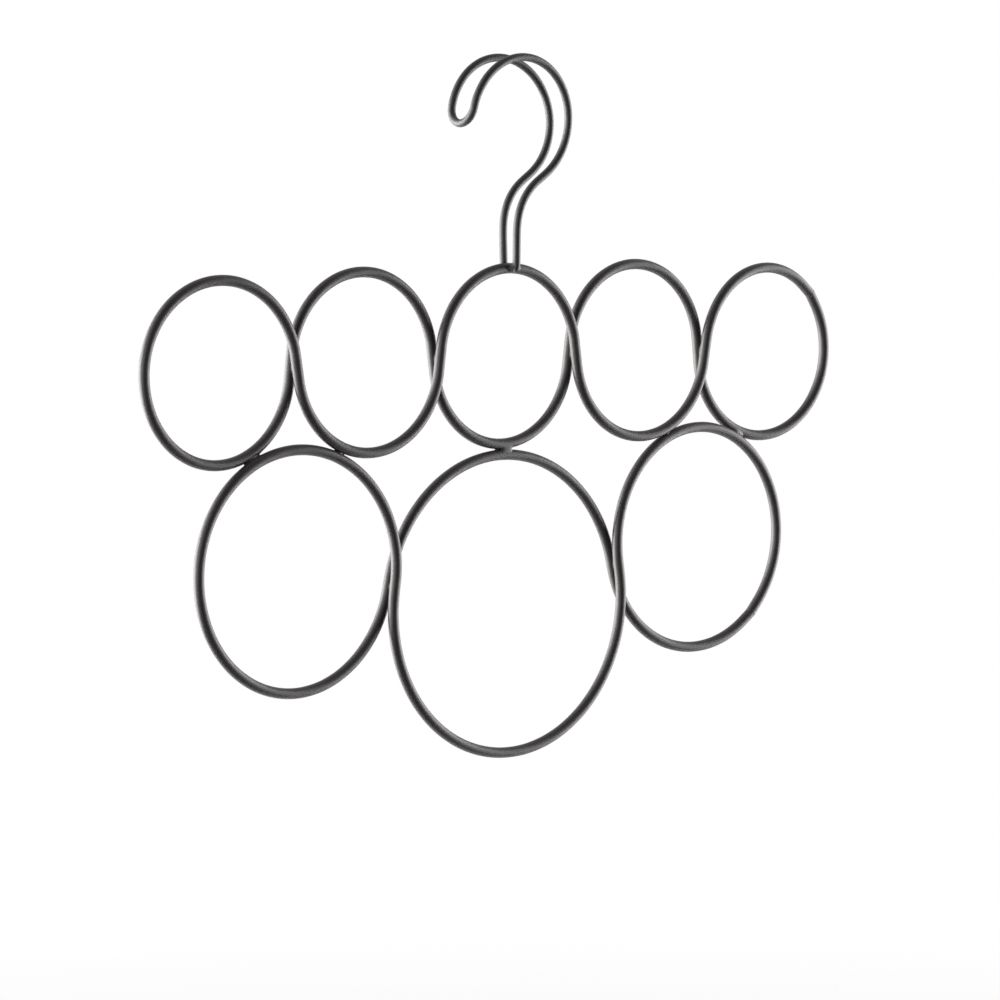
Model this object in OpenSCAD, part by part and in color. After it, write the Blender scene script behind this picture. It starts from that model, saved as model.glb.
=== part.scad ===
// Hanger of eight wire loops in two rows under a doubled wire hook.
// Seen from the front, which is -Y, the loops are numbered from the left.
// The origin is where the hook rests on its rail: under the top of the arch,
// half way between the hook's two wires. +X is to the right and +Z is up.

/* [Wire] */
// Diameter of the wire that both rows of loops are bent from
row_wire = 4.8; // [4.2:0.1:5.4]
// Diameter of the thinner wire that the hook is bent from
hook_wire = 3.6; // [2.8:0.1:4.2]
// Gap that a weld closes where the two runs of a row cross
crossing_gap = 0.2; // [0.15:0.01:0.3]
// Gap that a weld closes where a lower loop touches an upper loop
row_gap = 0.2; // [0.15:0.01:0.3]
// Gap that a weld closes between a leg of the hook and the loop under it
leg_gap = 0.2; // [0.1:0.01:0.3]

/* [Upper row] */
// Radius of the five upper loops, at the wire's centre
upper_loop_radius = 39.6; // [36:0.1:43]
// Slant of each run where two upper loops cross
upper_slant = 7.9; // [5:0.1:12]

/* [Lower row] */
// Radius of the left lower loop, at the wire's centre
left_loop_radius = 53.2; // [49:0.1:57]
// Radius of the middle lower loop, which is the largest
middle_loop_radius = 67.3; // [62:0.1:72]
// Radius of the right lower loop
right_loop_radius = 51.6; // [48:0.1:56]
// Slant of each run where two lower loops cross
lower_slant = 2.5; // [1.5:0.1:6]

/* [Hook] */
// Distance of the legs to the right of the middle upper loop's centre
leg_offset = 0.9; // [-2:0.1:3]
// Length of each leg below the centre of the wire it is welded to
leg_foot = 1.6; // [0:0.1:2.2]
// Straight length of each leg above the centre of the wire it is welded to
leg_length = 17.4; // [12:0.1:24]
// Angle at which each leg leans away from the other
leg_lean = 1.3; // [0.5:0.1:2.5]
// Radius of the bend that leads the neck out to the right
neck_radius = 25.8; // [20:0.1:32]
// Turn of that bend
neck_turn = 59.3; // [50:0.1:64]
// Straight length between the neck's bend and the arch
neck_length = 3.2; // [1:0.1:8]
// Radius of the arch that goes over the rail
arch_radius = 28.6; // [25:0.1:32]
// Turn of the arch, from the neck to the tip
arch_turn = 226.6; // [215:0.1:235]
// Roll that spreads the two wires of the arch
arch_roll = 2; // [1:0.1:3]

/* [Welds] */
// Length of the bead where two runs cross
crossing_bead_length = 7; // [4:0.1:10]
// Diameter of the bead where two runs cross
crossing_bead = 3.4; // [2.8:0.1:4]
// Length of the bead where a lower loop touches an upper loop
row_bead_length = 4; // [2.5:0.1:6]
// Diameter of the bead where a lower loop touches an upper loop
row_bead = 3.6; // [3:0.1:4.2]
// Shift of the middle bead to the right of its contact
middle_bead_shift = 1.2; // [0:0.1:2]
// Length of the bead beside each leg of the hook
leg_bead_length = 4; // [2.5:0.1:6]
// Diameter of the bead beside each leg of the hook
leg_bead = 2.8; // [2.2:0.1:3.4]
// Shift of the leg beads to the left of the leg
leg_bead_shift = 0.9; // [0:0.1:1.5]
// Width of the seam that closes each row's wire
seam_width = 0.8; // [0.5:0.1:1.5]
// Height of that seam over the wire
seam_rise = 0.12; // [0.05:0.01:0.3]
// Place of the upper seam on the fifth loop, above its right-hand side
upper_seam_turn = 44; // [25:1:70]
// Place of the lower seam on the eighth loop, below its right-hand side
lower_seam_turn = 58; // [30:1:75]

/* [Hidden] */
$fa = 1.5;
$fs = 0.2;

// Sides of the circles that cut the thin welds, which need the finest curves
weld_sides = 256;

// Every other stretch of a wire is this much thicker all round, and reaches this
// far into the stretches beside it, so that the wire closes into one solid
join_rise = 0.02;
join_reach = 0.25;

// Which way a run passes a loop, and which half of the loop a side is
over = 1;
under = -1;
// Each row has a front run, which starts over its first loop, and a rear run
front = 1;
rear = -1;
left = -1;
right = 1;
degrees = 180 / PI;
up = [0, 0, 1];
across = [0, 1, 0];

// Distance of each run from the plane half way between them
run_depth = (row_wire + crossing_gap) / 2;
row_contact = row_wire + row_gap;
upper_pitch = 2 * upper_loop_radius / cos(upper_slant);

// Places of the loops' centres, as [x, z] from the centre of the third loop.
// Every loop is set against its neighbours, so each weld closes the same gap.
third = [0, 0];
second = [-upper_pitch, 0];
fourth = [upper_pitch, 0];
seventh = [0, -upper_loop_radius - middle_loop_radius - row_contact];
sixth = lower_end_centre(second, left_loop_radius, left);
eighth = lower_end_centre(fourth, right_loop_radius, right);
first = upper_end_centre(second, sixth, left_loop_radius, left);
fifth = upper_end_centre(fourth, eighth, right_loop_radius, right);

// A row is the centres of its loops and their radii
upper_row = [[first, second, third, fourth, fifth], [for (i = [1:5]) upper_loop_radius]];
lower_row = [[sixth, seventh, eighth], [left_loop_radius, middle_loop_radius, right_loop_radius]];

// The hook's front leg, followed from the loop up. A stance is a point, the
// direction of the wire there, and the direction in which it bends.
leg_depth = (row_wire + hook_wire) / 2 + leg_gap;
leg_direction = [0, -sin(leg_lean), cos(leg_lean)];
leg_root = [leg_offset, -leg_depth, upper_loop_radius];
leg_stance = [leg_root, leg_direction, [1, 0, 0]];
neck_stance = after_rod(leg_stance, leg_length);
neck_arc = arc_from(neck_stance, neck_radius, neck_turn);
slope_stance = after_arc(neck_arc);
arch_stance = rolled(after_rod(slope_stance, neck_length), 180 + arch_roll);
arch_arc = arc_from(arch_stance, arch_radius, arch_turn);
tip_stance = facing(after_arc(arch_arc), across);
tip_radius = -tip_stance[0][1] / tip_stance[2][1];
tip_turn = 2 * atan2(tip_stance[2][1], tip_stance[1][1]);
tip_arc = arc_from(tip_stance, tip_radius, tip_turn);

// The seat is the underside of the arch's highest point
arch_plane = cross(arch_arc[1], arch_arc[2]);
arch_rise = up - arch_plane[2] * arch_plane;
arch_top = arch_arc[0] + arch_radius * arch_rise / norm(arch_rise);
seat = [arch_top[0], 0, arch_top[2] - hook_wire / 2];

upper_front_run();
upper_rear_run();
lower_front_run();
lower_rear_run();
hook();
upper_seam();
lower_seam();
crossing_weld_1_2();
crossing_weld_2_3();
crossing_weld_3_4();
crossing_weld_4_5();
crossing_weld_6_7();
crossing_weld_7_8();
row_weld_1_6();
row_weld_2_6();
row_weld_3_7();
row_weld_4_8();
row_weld_5_8();
front_leg_weld();
rear_leg_weld();

// Upper row

module upper_front_run() {
    color([0.11, 0.10, 0.10])
        from_rows() {
            run_start(upper_row, front);
            turn_to_seam(upper_row, front, upper_seam_turn);
        }
}

module upper_rear_run() {
    color([0.12, 0.11, 0.11])
        from_rows() {
            run_start(upper_row, rear);
            whole_turn(upper_row, last(upper_row), rear);
            turn_from_seam(upper_row, front, upper_seam_turn);
        }
}

// Lower row

module lower_front_run() {
    color([0.11, 0.10, 0.10])
        from_rows() {
            run_start(lower_row, front);
            whole_turn(lower_row, last(lower_row), front);
            turn_from_seam(lower_row, rear, lower_seam_turn);
        }
}

module lower_rear_run() {
    color([0.12, 0.11, 0.11])
        from_rows() {
            run_start(lower_row, rear);
            turn_to_seam(lower_row, rear, lower_seam_turn);
        }
}

// Hook

module hook() {
    color([0.10, 0.09, 0.09])
        from_hook() {
            leg();
            arc_wire(tip_arc, hook_wire);
            mirror(across)
                leg();
        }
}

module leg() {
    leg_rod();
    closing_arc_wire(neck_arc, hook_wire);
    rod_wire(slope_stance, neck_length, hook_wire);
    closing_arc_wire(arch_arc, hook_wire);
}

module leg_rod() {
    foot = [leg_root - leg_foot * leg_direction, leg_direction, [1, 0, 0]];
    rod_wire(foot, leg_foot + leg_length, hook_wire);
}

// Seams that close each row's wire

module upper_seam() {
    color([0.15, 0.14, 0.14])
        from_rows()
            seam(upper_row, front, upper_seam_turn);
}

module lower_seam() {
    color([0.15, 0.14, 0.14])
        from_rows()
            seam(lower_row, rear, lower_seam_turn);
}

module seam(row, lead, turn) {
    arc = end_arc(row, last(row), lead);
    arc_wire(arc, row_wire + 2 * seam_rise, seam_start(arc, turn), seam_end(arc, turn));
}

// Welds where the two runs of a row cross

module crossing_weld_1_2() {
    crossing_weld(upper_row, 0);
}

module crossing_weld_2_3() {
    crossing_weld(upper_row, 1);
}

module crossing_weld_3_4() {
    crossing_weld(upper_row, 2);
}

module crossing_weld_4_5() {
    crossing_weld(upper_row, 3);
}

module crossing_weld_6_7() {
    crossing_weld(lower_row, 0);
}

module crossing_weld_7_8() {
    crossing_weld(lower_row, 1);
}

module crossing_weld(row, i) {
    share = row[1][i] / (row[1][i] + row[1][i + 1]);
    place = row[0][i] + share * (row[0][i + 1] - row[0][i]);
    color([0.14, 0.13, 0.13])
        from_rows()
            difference($fn = weld_sides) {
                bead(in_rows(place, 0), in_rows(ray(heading_on(row, i) + 90), 0),
                     crossing_bead_length, crossing_bead);
                for (lead = [front, rear]) {
                    link(row, i, lead);
                    whole_turn(row, i, lead);
                    whole_turn(row, i + 1, lead);
                }
            }
}

// Welds where a lower loop touches an upper loop

module row_weld_1_6() {
    row_weld(0, 0, 0);
}

module row_weld_2_6() {
    row_weld(1, 0, 0);
}

module row_weld_3_7() {
    row_weld(2, 1, middle_bead_shift);
}

module row_weld_4_8() {
    row_weld(3, 2, 0);
}

module row_weld_5_8() {
    row_weld(4, 2, 0);
}

module row_weld(i, j, shift) {
    upper_centre = upper_row[0][i];
    lower_centre = lower_row[0][j];
    toward = ray(heading(lower_centre, upper_centre));
    upper_point = upper_centre - upper_row[1][i] * toward;
    lower_point = lower_centre + lower_row[1][j] * toward;
    upper_lead = under * turn_side(i, front);
    lower_lead = over * turn_side(j, front);
    depth = (turn_depth(upper_row, i, upper_lead, lower_centre)
             + turn_depth(lower_row, j, lower_lead, upper_centre)) / 2;
    along = [toward[1], -toward[0]];
    color([0.14, 0.13, 0.13])
        from_rows()
            difference($fn = weld_sides) {
                bead(in_rows((upper_point + lower_point) / 2 + shift * along, depth),
                     in_rows(along, 0), row_bead_length, row_bead);
                whole_turn(upper_row, i, upper_lead);
                whole_turn(lower_row, j, lower_lead);
            }
}

// Welds of the hook's legs to the top of the third loop

module front_leg_weld() {
    leg_weld();
}

module rear_leg_weld() {
    mirror(across)
        leg_weld();
}

module leg_weld() {
    touch = [leg_offset - leg_bead_shift, -(row_wire + leg_gap) / 2, upper_loop_radius];
    color([0.14, 0.13, 0.13])
        from_hook()
            difference() {
                bead(touch, [1, 0, 0], leg_bead_length, leg_bead);
                leg_rod();
                translate([0, run_depth, 0])
                    whole_turn(upper_row, 2, front);
            }
}

// Runs of wire

// Every turn and link of a run but its last turn
module run_start(row, lead) {
    for (i = [0:last(row) - 1]) {
        whole_turn(row, i, lead);
        link(row, i, lead);
    }
}

module whole_turn(row, i, lead) {
    ends = i == 0 || i == last(row);
    arc_wire(ends ? end_arc(row, i, lead) : middle_arc(row, i, lead), row_wire);
}

// Last turn of a run, as far as the seam
module turn_to_seam(row, lead, turn) {
    arc = end_arc(row, last(row), lead);
    arc_wire(arc, row_wire, 0, seam_start(arc, turn));
}

// Stretch from the seam to the loop's far side, which the other run carries on
module turn_from_seam(row, lead, turn) {
    arc = end_arc(row, last(row), lead);
    thickness = row_wire + 2 * join_rise;
    arc_wire(arc, thickness, seam_end(arc, turn), arc[4] + join_turn(arc));
}

// Straight stretch between two loops
module link(row, i, lead) {
    lean = ray(heading_on(row, i) + turn_side(i, lead) * slant(row, i));
    start = in_rows(row[0][i] + row[1][i] * lean, -lead * run_depth);
    finish = in_rows(row[0][i + 1] - row[1][i + 1] * lean, -lead * run_depth);
    direction = (finish - start) / norm(finish - start);
    length = norm(finish - start) + 2 * join_reach;
    rod_wire([start - join_reach * direction, direction, across],
             length, row_wire + 2 * join_rise);
}

// Stretch of round wire along an arc, between two angles from its start
module arc_wire(arc, diameter, begin = 0, end = undef) {
    finish = is_undef(end) ? arc[4] : end;
    oriented(arc[0], arc[1], arc[2])
        rotate_extrude(start = begin, angle = finish - begin)
            translate([arc[3], 0])
                circle(d = diameter);
}

// The same along a whole arc, joined to the stretches at both its ends
module closing_arc_wire(arc, diameter) {
    arc_wire(arc, diameter + 2 * join_rise, -join_turn(arc), arc[4] + join_turn(arc));
}

// Straight stretch of round wire from a stance
module rod_wire(stance, length, diameter) {
    oriented(stance[0], stance[2], cross(stance[1], stance[2]))
        cylinder(d = diameter, h = length);
}

// Bead with round ends, centred on a place and laid along a direction
module bead(place, direction, length, diameter) {
    oriented(place, cross(across, direction), across) {
        cylinder(d = diameter, h = length, center = true);
        for (end = [left, right])
            translate([0, 0, end * length / 2])
                sphere(d = diameter);
    }
}

// Places children with their X and Y along two unit vectors square to each other
module oriented(place, x_axis, y_axis) {
    z_axis = cross(x_axis, y_axis);
    multmatrix([
        [x_axis[0], y_axis[0], z_axis[0], place[0]],
        [x_axis[1], y_axis[1], z_axis[1], place[1]],
        [x_axis[2], y_axis[2], z_axis[2], place[2]],
        [0, 0, 0, 1]
    ])
        children();
}

// Moves children from the hook's own place, over the third loop, to the seat
module from_hook() {
    translate(-seat)
        children();
}

// Moves children from the plane between the runs: the hook straddles the front run
module from_rows() {
    from_hook()
        translate([0, run_depth, 0])
            children();
}

// Angles and places in the loops' plane

function last(row) = len(row[0]) - 1;
function ray(angle) = [cos(angle), sin(angle)];
function heading(from, to) = atan2(to[1] - from[1], to[0] - from[0]);
function heading_on(row, i) = heading(row[0][i], row[0][i + 1]);
function wrapped(angle) = angle - 360 * floor(angle / 360);
function in_rows(place, depth) = [place[0], depth, place[1]];
function angle_between(a, b) = acos(a * b / (norm(a) * norm(b)));

// Side of its loop that a run passes on
function turn_side(i, lead) = i % 2 == 0 ? lead : -lead;

// Slant of a run where a loop and the next one cross
function slant(row, i) =
    acos((row[1][i] + row[1][i + 1]) / norm(row[0][i + 1] - row[0][i]));

// Point at two distances from two others, on the given side of the line between them
function meeting(a, from_a, b, from_b, side) =
    let (
        apart = norm(b - a),
        toward = (b - a) / apart,
        along = (from_a ^ 2 - from_b ^ 2 + apart ^ 2) / (2 * apart),
        off = sqrt(from_a ^ 2 - along ^ 2)
    )
    a + along * toward + side * off * [-toward[1], toward[0]];

// Distance in the loops' plane of two wires that touch, one a step behind the other
function sideways(step) = sqrt(row_contact ^ 2 - step ^ 2);

// Depth that is left to an end loop's wire at a turn from its crossing
function end_depth(turn) = run_depth * (1 + cos(turn)) / 2;

// Depth of a loop's wire, off the plane between the runs, in the direction of a place
function turn_depth(row, i, lead, place) =
    let (
        neighbour = i == 0 ? 1 : last(row) - 1,
        turn = angle_between(row[0][neighbour] - row[0][i], place - row[0][i]),
        ends = i == 0 || i == last(row)
    )
    -lead * (ends ? end_depth(turn) : run_depth);

// Centre of a lower end loop, which touches an upper loop and crosses the middle one
function lower_end_centre(upper, radius, side) =
    let (
        reach = (radius + middle_loop_radius) / cos(lower_slant),
        both = upper_loop_radius + radius,
        rough = meeting(upper, both + row_contact, seventh, reach, side),
        turn = angle_between(seventh - rough, upper - rough)
    )
    meeting(upper, both + sideways(run_depth - end_depth(turn)), seventh, reach, side);

// Centre of an upper end loop, which crosses its neighbour and touches a lower loop
function upper_end_centre(neighbour, lower, radius, side) =
    let (
        both = upper_loop_radius + radius,
        rough = meeting(neighbour, upper_pitch, lower, both + row_contact, side),
        own_turn = angle_between(neighbour - rough, lower - rough),
        lower_turn = angle_between(seventh - lower, rough - lower),
        step = end_depth(own_turn) + end_depth(lower_turn)
    )
    meeting(neighbour, upper_pitch, lower, both + sideways(step), side);

// Turn by which an arc reaches into the stretch beside it
function join_turn(arc) = join_reach / arc[3] * degrees;

// Angles along an end loop's arc at which its seam starts and ends
function seam_start(arc, turn) = arc[4] - turn - seam_width / 2 / arc[3] * degrees;
function seam_end(arc, turn) = arc[4] - turn + seam_width / 2 / arc[3] * degrees;

// Arcs: a centre, the directions out to the start and along the wire there,
// the radius, and the turn

function middle_arc(row, i, lead) =
    let (
        side = turn_side(i, lead),
        arrival = heading_on(row, i - 1) + 180 - side * slant(row, i - 1),
        departure = heading_on(row, i) + side * slant(row, i),
        begin = side == over ? departure : arrival,
        end = side == over ? arrival : departure
    )
    [
        in_rows(row[0][i], -lead * run_depth),
        in_rows(ray(begin), 0),
        in_rows(ray(begin + 90), 0),
        row[1][i],
        wrapped(end - begin)
    ];

// Half of an end loop, from its crossing to its far side. It leaves its run's plane
// as it goes, so that the two halves meet half way between the runs.
function end_arc(row, i, lead) =
    let (
        neighbour = i == 0 ? 1 : last(row) - 1,
        radius = row[1][i],
        toward = ray(heading(row[0][i], row[0][neighbour])),
        aside = turn_side(i, lead) * sign(toward[0]) * [-toward[1], toward[0]],
        lean = slant(row, min(i, neighbour)),
        start = row[0][i] + radius * (cos(lean) * toward + sin(lean) * aside),
        far_side = row[0][i] - norm([radius, run_depth]) * toward
    )
    arc_to(
        in_rows(start, -lead * run_depth),
        in_rows(cos(lean) * aside - sin(lean) * toward, 0),
        in_rows(far_side, 0)
    );

// Arc that leaves a point in a direction and ends at another point
function arc_to(start, direction, finish) =
    let (
        chord = finish - start,
        along = chord * direction,
        inward = chord - along * direction,
        reach = norm(inward),
        radius = chord * chord / (2 * reach)
    )
    [
        start + radius * inward / reach,
        -inward / reach,
        direction,
        radius,
        wrapped(atan2(along, radius - reach))
    ];

// Arc that leaves a stance with a radius and a turn
function arc_from(stance, radius, turn) =
    [stance[0] + radius * stance[2], -stance[2], stance[1], radius, turn];

// Stances: a point, the direction of the wire, and the direction of its bend

function after_rod(stance, length) =
    [stance[0] + length * stance[1], stance[1], stance[2]];

function after_arc(arc) =
    let (
        outward = cos(arc[4]) * arc[1] + sin(arc[4]) * arc[2],
        direction = cos(arc[4]) * arc[2] - sin(arc[4]) * arc[1]
    )
    [arc[0] + arc[3] * outward, direction, -outward];

// Stance whose bend is turned about the wire
function rolled(stance, angle) =
    [
        stance[0],
        stance[1],
        cos(angle) * stance[2] + sin(angle) * cross(stance[1], stance[2])
    ];

// Stance whose bend is turned as nearly as it can be toward a direction
function facing(stance, direction) =
    let (square = direction - (direction * stance[1]) * stance[1])
    [stance[0], stance[1], square / norm(square)];
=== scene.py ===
"""A black wire hanger: eight welded loops in two rows under a hook of doubled wire.

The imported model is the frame. Every wire and weld of it is replaced by a finer surface on
the same centre lines, coated in satin black powder, and set in a plain white studio.
Shapes are worked out in millimetres, and turned to metres where a mesh is made.
"""

import logging
import math
from dataclasses import dataclass, field, replace
from enum import Enum
from typing import Any, Sequence

import bpy
import numpy as np
from mathutils import Matrix


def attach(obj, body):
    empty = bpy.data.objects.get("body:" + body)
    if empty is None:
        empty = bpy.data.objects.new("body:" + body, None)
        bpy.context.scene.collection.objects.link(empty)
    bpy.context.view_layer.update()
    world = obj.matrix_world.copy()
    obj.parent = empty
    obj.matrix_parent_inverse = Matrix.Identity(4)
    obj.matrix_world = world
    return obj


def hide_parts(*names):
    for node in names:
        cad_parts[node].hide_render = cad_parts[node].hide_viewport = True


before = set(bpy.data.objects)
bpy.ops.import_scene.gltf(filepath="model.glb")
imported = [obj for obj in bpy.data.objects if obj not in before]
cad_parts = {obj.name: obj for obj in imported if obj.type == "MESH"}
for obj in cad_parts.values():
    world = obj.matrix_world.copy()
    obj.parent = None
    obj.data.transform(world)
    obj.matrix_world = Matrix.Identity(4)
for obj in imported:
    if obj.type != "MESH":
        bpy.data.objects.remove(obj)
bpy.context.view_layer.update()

LOG = logging.getLogger("hanger")
MM = 0.001
BODY = "root"
Array = np.ndarray
Colour = tuple[float, float, float, float]
Wave = tuple[float, float, float]
WHITE: Colour = (1.0, 1.0, 1.0, 1.0)


# Directions and stances


class Side(Enum):
    """A side of the hanger, seen from the front."""

    LEFT = -1
    RIGHT = 1


class Lead(Enum):
    """Which run of a row's wire: the front run starts over its first loop."""

    FRONT = 1
    REAR = -1


class End(Enum):
    """How a stretch of wire ends."""

    BUTTED = "against the next stretch of the same wire"
    SHEARED = "cut off by a shear, with a soft edge"


ALONG, ACROSS, UP = np.eye(3)  # right along the rows, back along the rail, and up


def ray(angle: float) -> Array:
    """Returns the unit vector in the loops' plane at an angle in degrees."""
    return np.array([math.cos(math.radians(angle)), math.sin(math.radians(angle))])


def heading(start: Array, end: Array) -> float:
    """Returns the angle in degrees of the line from one place to another."""
    return math.degrees(math.atan2(end[1] - start[1], end[0] - start[0]))


def unit(vector: Array) -> Array:
    """Returns a vector, or each vector of an array, at length one."""
    return vector / np.linalg.norm(vector, axis=-1, keepdims=True)


def swung(a: Array, b: Array, angle: float) -> Array:
    """Returns direction a, turned toward the direction b square to it, in radians."""
    return math.cos(angle) * a + math.sin(angle) * b


def rolled_by(a: Array, b: Array, aim: Array) -> float:
    """Returns the angle in radians from direction a, toward b, to the direction aimed at."""
    return math.atan2(float(aim @ b), float(aim @ a))


def angle_between(a: Array, b: Array) -> float:
    """Returns the angle between two vectors, in degrees."""
    return math.degrees(math.acos(float(unit(a) @ unit(b))))


def eased(x: Array) -> Array:
    """Returns 0 below 0, 1 above 1, and 3x^2 - 2x^3 between."""
    x = np.clip(x, 0, 1)
    return x * x * (3 - 2 * x)


def waves(angle: Array, *terms: Wave) -> Array:
    """Returns a sum of cosines of an angle, each from its share, its count and its phase."""
    return sum(share * np.cos(count * angle + phase) for share, count, phase in terms)


def round_the_clock(count: int) -> Array:
    """Returns so many even angles around a full turn, in radians."""
    return np.arange(count) * 2 * math.pi / count


def in_rows(place: Array, depth: float) -> Array:
    """Returns a place in the loops' plane as a point in space."""
    return np.array([place[0], depth, place[1]])


def meeting(a: Array, from_a: float, b: Array, from_b: float, side: Side) -> Array:
    """Finds a point by its distances from two others.

    Args:
        a: The first point.
        from_a: Distance from the first point.
        b: The second point.
        from_b: Distance from the second point.
        side: Left or right, as one looks from the second point to the first.

    Returns:
        The point at both distances.
    """
    apart = float(np.linalg.norm(b - a))
    toward = (b - a) / apart
    along = (from_a**2 - from_b**2 + apart**2) / (2 * apart)
    off = math.sqrt(from_a**2 - along**2)
    return a + along * toward + side.value * off * np.array([-toward[1], toward[0]])


@dataclass(frozen=True)
class Stance:
    """A point on a wire, the wire's direction there, and the direction of its bend."""

    point: Array
    direction: Array
    bend: Array

    def ahead(self, length: float) -> "Stance":
        """Returns the stance further on along a straight stretch."""
        return Stance(self.point + length * self.direction, self.direction, self.bend)

    def rolled(self, angle: float) -> "Stance":
        """Returns the stance with its bend turned about the wire by degrees."""
        aside = np.cross(self.direction, self.bend)
        return Stance(self.point, self.direction, swung(self.bend, aside, math.radians(angle)))

    def facing(self, aim: Array) -> "Stance":
        """Returns the stance with its bend as near to a direction as it can be."""
        square = aim - (aim @ self.direction) * self.direction
        return Stance(self.point, self.direction, unit(square))


# Centre lines

LEAST_STEPS = 4  # in the shortest bend
BELL_REACH = 4  # spreads from a bell curve's middle to where it is cut off


@dataclass
class Line:
    """A centre line: points, and two directions across the wire at each."""

    points: Array
    tangents: Array
    normals: Array

    @property
    def sides(self) -> Array:
        """Returns the second direction across the wire."""
        return np.cross(self.tangents, self.normals)

    def circle(self, around: Array) -> Array:
        """Returns cos a x normal + sin a x side, at each point and for each angle a."""
        a = around[None, :, None]
        return np.cos(a) * self.normals[:, None] + np.sin(a) * self.sides[:, None]

    @property
    def lengths(self) -> Array:
        """Returns the distance along the wire of each point."""
        steps = np.linalg.norm(np.diff(self.points, axis=0), axis=1)
        return np.concatenate([[0.0], np.cumsum(steps)])


@dataclass(frozen=True)
class Arc:
    """A bend: the directions out to its start and along it there, its radius and turn.

    The mill leaves the ends of a bent wire straight, so an arc that starts or finishes at
    a seam runs off its circle there, by the square of the distance over twice the radius.
    """

    centre: Array
    out: Array
    along: Array
    radius: float
    turn: float
    straight_start: float = 0.0
    straight_finish: float = 0.0

    def part(self, begin: float, finish: float, **ends: float) -> "Arc":
        """Returns the stretch of the bend between two angles, in degrees."""
        a = math.radians(begin)
        out, along = swung(self.out, self.along, a), swung(self.along, -self.out, a)
        return Arc(self.centre, out, along, self.radius, finish - begin, **ends)

    def finish(self) -> Stance:
        """Returns the stance at the end of the bend."""
        a = math.radians(self.turn)
        outward, onward = swung(self.out, self.along, a), swung(self.along, -self.out, a)
        return Stance(self.centre + self.radius * outward, onward, -outward)

    def line(self, step: float, before: Array | None) -> Line:
        """Samples the bend.

        Args:
            step: Distance between points.
            before: The direction across the wire that the stretch before it ended with.

        Returns:
            Centre + radius x (cos t x out + sin t x along), for t from 0 to the turn.
        """
        length = self.radius * math.radians(self.turn)
        count = max(LEAST_STEPS, math.ceil(length / step))
        t = np.linspace(0.0, math.radians(self.turn), count + 1)[:, None]
        outward = np.cos(t) * self.out + np.sin(t) * self.along
        run = t * self.radius
        off = np.clip(self.straight_start - run, 0, None) ** 2
        off = off + np.clip(self.straight_finish - (length - run), 0, None) ** 2
        points = self.centre + (self.radius + off / (2 * self.radius)) * outward
        tangents = unit(np.gradient(points, axis=0, edge_order=2))
        normals = unit(outward - np.sum(outward * tangents, 1, keepdims=True) * tangents)
        if before is not None:
            sides = np.cross(tangents, normals)
            normals = swung(normals, sides, rolled_by(normals[0], sides[0], before))
        return Line(points, tangents, normals)


@dataclass(frozen=True)
class Rod:
    """A straight stretch between two points."""

    start: Array
    end: Array

    def line(self, step: float, before: Array | None) -> Line:
        """Samples the stretch, with one direction across it all along."""
        chord = self.end - self.start
        count = max(2, math.ceil(float(np.linalg.norm(chord)) / step)) + 1
        points = self.start + np.linspace(0.0, 1.0, count)[:, None] * chord
        tangent = unit(chord)
        across = ACROSS if before is None else before
        normal = unit(across - (across @ tangent) * tangent)
        return Line(points, np.repeat(tangent[None], count, 0), np.repeat(normal[None], count, 0))


def chained(lines: Sequence[Line]) -> Line:
    """Returns centre lines that meet end to end as one, with no point twice."""
    parts = zip(*((x.points, x.tangents, x.normals) for x in lines))
    return Line(*(np.concatenate([part[0]] + [x[1:] for x in part[1:]]) for part in parts))


def joined(stretches: Sequence[Arc | Rod], step: float) -> Line:
    """Joins stretches into one centre line, each turned to meet the one before it.

    Args:
        stretches: Arcs and rods, in order, end to end.
        step: Distance between points.

    Returns:
        The whole centre line.
    """
    lines: list[Line] = []
    for stretch in stretches:
        lines.append(stretch.line(step, lines[-1].normals[-1] if lines else None))
    return chained(lines)


def eased_bends(line: Line, spread: float, held: float) -> Line:
    """Lets bends ease in and out, as bent wire does when it springs back.

    Args:
        line: The centre line.
        spread: Width of the bell curve that points are averaged over along the wire.
        held: Length at the line's finish over which the line goes back to what it was.

    Returns:
        The centre line at even steps: each point is the mean of those around it, weighted
        by exp(-(distance / spread)^2 / 2), and the line runs straight on past its ends.
    """
    run = line.lengths
    count = len(run)
    even = np.linspace(0.0, run[-1], count)
    points, normals = (
        np.stack([np.interp(even, run, axis) for axis in part.T], 1)
        for part in (line.points, line.normals)
    )
    reach = math.ceil(BELL_REACH * spread / even[1])
    bell = np.exp(-((np.arange(-reach, reach + 1) * even[1] / spread) ** 2) / 2)
    before = 2 * points[0] - points[reach:0:-1]
    after = 2 * points[-1] - points[-2 : -reach - 2 : -1]
    padded = np.concatenate([before, points, after])
    smooth = np.stack([np.convolve(axis, bell / bell.sum(), "valid") for axis in padded.T], 1)
    share = eased((run[-1] - even) / held)[:, None]
    points = share * smooth + (1 - share) * points
    tangents = unit(np.gradient(points, axis=0, edge_order=2))
    normals = unit(normals - np.sum(normals * tangents, 1, keepdims=True) * tangents)
    return Line(points, tangents, normals)


# Surfaces


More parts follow.
